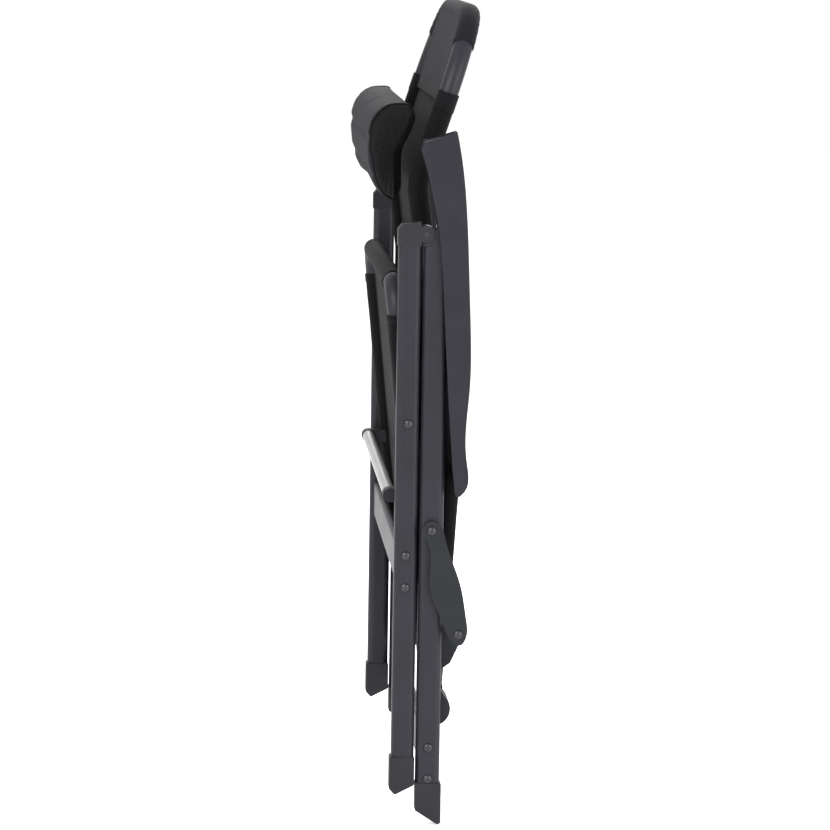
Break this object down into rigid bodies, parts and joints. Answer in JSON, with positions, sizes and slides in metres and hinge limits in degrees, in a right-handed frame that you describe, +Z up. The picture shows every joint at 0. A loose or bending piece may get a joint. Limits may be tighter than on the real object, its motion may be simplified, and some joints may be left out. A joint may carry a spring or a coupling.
{
  "type": "folding camp chair",
  "caption": "Reclining folding camp chair, stored folded: oval tube legs on a knuckle, mesh seat and back, hinged armrests, link plates and a sliding padded headrest.",
  "frame": {"origin": "on the floor under the middle of the folded chair's box, at the lowest point of the rear feet", "axes": "+X across the chair from its left to its right, +Y to its rear, +Z up along the folded legs"},
  "size_m": [0.6424, 0.1453, 1.0405],
  "materials": {
    "frame_paint": "powder coated, fine satin texture",
    "arm_plastic": "moulded, fine grain",
    "link_plastic": "moulded, satin",
    "shoe_plastic": "moulded, matte",
    "bare_metal": "anodised grey",
    "black_steel": "blackened",
    "mesh_fabric": "woven coated polyester mesh",
    "headrest_fabric": "knitted spacer fabric"
  },
  "bodies": {
    "backrest": {"back_tube_left": "frame_paint", "back_tube_right": "frame_paint", "top_grip": "frame_paint", "back_lower_bar": "frame_paint", "back_panel": "mesh_fabric", "link_bracket_left": "link_plastic", "link_bracket_right": "link_plastic", "link_pin_left": "black_steel", "link_pin_right": "black_steel", "back_hinge_axle_left": "black_steel", "back_hinge_axle_right": "black_steel", "back_hinge_fitting_left": "shoe_plastic", "back_hinge_fitting_right": "shoe_plastic"},
    "seat": {"seat_frame": "frame_paint", "seat_spreader_bar": "bare_metal", "seat_panel": "mesh_fabric", "seat_hinge_hub_left": "shoe_plastic", "seat_hinge_hub_right": "shoe_plastic", "seat_spreader_clip_left": "shoe_plastic", "seat_spreader_clip_right": "shoe_plastic", "seat_pivot_pin_left": "black_steel", "seat_pivot_pin_right": "black_steel"},
    "front_legs": {"front_leg_left": "frame_paint", "front_leg_right": "frame_paint", "front_foot_left": "shoe_plastic", "front_foot_right": "shoe_plastic", "front_leg_cap_left": "shoe_plastic", "front_leg_cap_right": "shoe_plastic", "front_crossbar": "frame_paint", "front_rivets": "black_steel"},
    "rear_legs": {"rear_leg_left": "frame_paint", "rear_leg_right": "frame_paint", "rear_foot_left": "shoe_plastic", "rear_foot_right": "shoe_plastic", "rear_leg_cap_left": "shoe_plastic", "rear_leg_cap_right": "shoe_plastic", "knuckle_pin_left": "black_steel", "knuckle_pin_right": "black_steel", "rear_crossbar": "frame_paint", "rear_rivets": "black_steel"},
    "links": {"link_plate_left": "link_plastic", "link_plate_right": "link_plastic", "link_end_rivet_left": "black_steel", "link_end_rivet_right": "black_steel", "link_pivot_left": "black_steel", "link_pivot_right": "black_steel"},
    "armrests": {"armrest_left": "arm_plastic", "armrest_right": "arm_plastic", "armrest_rack_left": "arm_plastic", "armrest_rack_right": "arm_plastic", "armrest_pivot_left": "black_steel", "armrest_pivot_right": "black_steel"},
    "headrest": {"headrest_cushion": "headrest_fabric"}
  },
  "joints": [
    {"name": "leg_fold", "type": "hinge", "parent": "rear_legs", "child": "front_legs", "pos_m": [0, -0.00035, 0.757], "axis": [-1, 0, 0], "range_deg": [0, 60]},
    {"name": "seat_fold", "type": "hinge", "parent": "front_legs", "child": "seat", "pos_m": [0, -0.01975, 0.517], "axis": [1, 0, 0], "range_deg": [0, 98.5]},
    {"name": "back_fold", "type": "hinge", "parent": "seat", "child": "backrest", "pos_m": [0, 0.01895, 0.145], "axis": [-1, 0, 0], "range_deg": [0, 87.3]},
    {"name": "link_fold", "type": "hinge", "parent": "rear_legs", "child": "links", "pos_m": [0, 0.01165, 0.3815], "axis": [1, 0, 0], "range_deg": [0, 97.1]},
    {"name": "armrest_fold", "type": "hinge", "parent": "backrest", "child": "armrests", "pos_m": [0, 0.04665, 0.45], "axis": [1, 0, 0], "range_deg": [0, 97.95]},
    {"name": "headrest_slide", "type": "slide", "parent": "backrest", "child": "headrest", "axis": [0, -0.128, 0.9918], "range_m": [-0.03, 0.05]}
  ],
  "couplings": [
    {"joint": "seat_fold", "follows": "leg_fold", "ratio": 1.6407},
    {"joint": "back_fold", "follows": "leg_fold", "ratio": 1.453},
    {"joint": "link_fold", "follows": "leg_fold", "ratio": 1.6171},
    {"joint": "armrest_fold", "follows": "leg_fold", "ratio": 1.6311}
  ]
}
